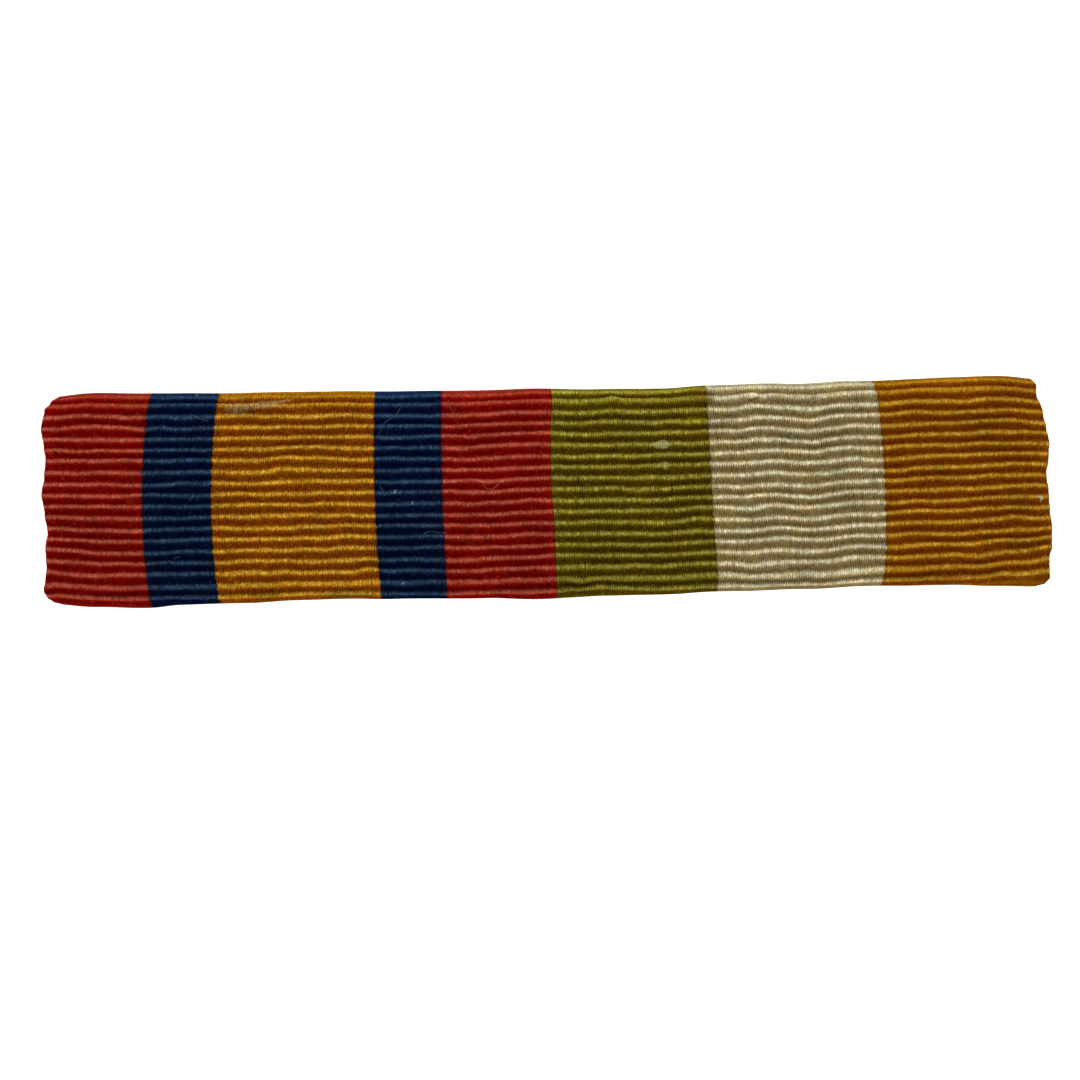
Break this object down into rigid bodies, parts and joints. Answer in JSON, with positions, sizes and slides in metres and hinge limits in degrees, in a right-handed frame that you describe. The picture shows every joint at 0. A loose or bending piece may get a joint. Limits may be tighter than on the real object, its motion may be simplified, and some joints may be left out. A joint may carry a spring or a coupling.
{
  "type": "ribbon bar",
  "caption": "Medal ribbon bar: ribbed striped silk ribbons side by side, wrapped round a flat brass plate with a brooch pin behind it.",
  "frame": {"origin": "on the surface that the bar lies on, under the middle of its bounding box", "axes": "+X along the bar, from the five-stripe ribbon to the three-stripe ribbon; +Y towards the bar's top edge as worn; +Z out of the striped face"},
  "size_m": [0.0644, 0.0138, 0.0058],
  "materials": {
    "silk_five_stripe": "ribbed silk in crimson, navy and gold stripes, faded sheen on the ribs",
    "silk_three_stripe": "ribbed silk in olive green, cream and golden orange stripes, faded sheen on the ribs",
    "plate_brass": "dull, aged sheet brass with fine rolling marks",
    "pin_steel": "worn nickel-plated steel, satin"
  },
  "bodies": {
    "root": {"ribbon_five_stripe": "silk_five_stripe", "ribbon_three_stripe": "silk_three_stripe", "backing_plate": "plate_brass", "brooch_pin": "pin_steel"}
  },
  "joints": []
}
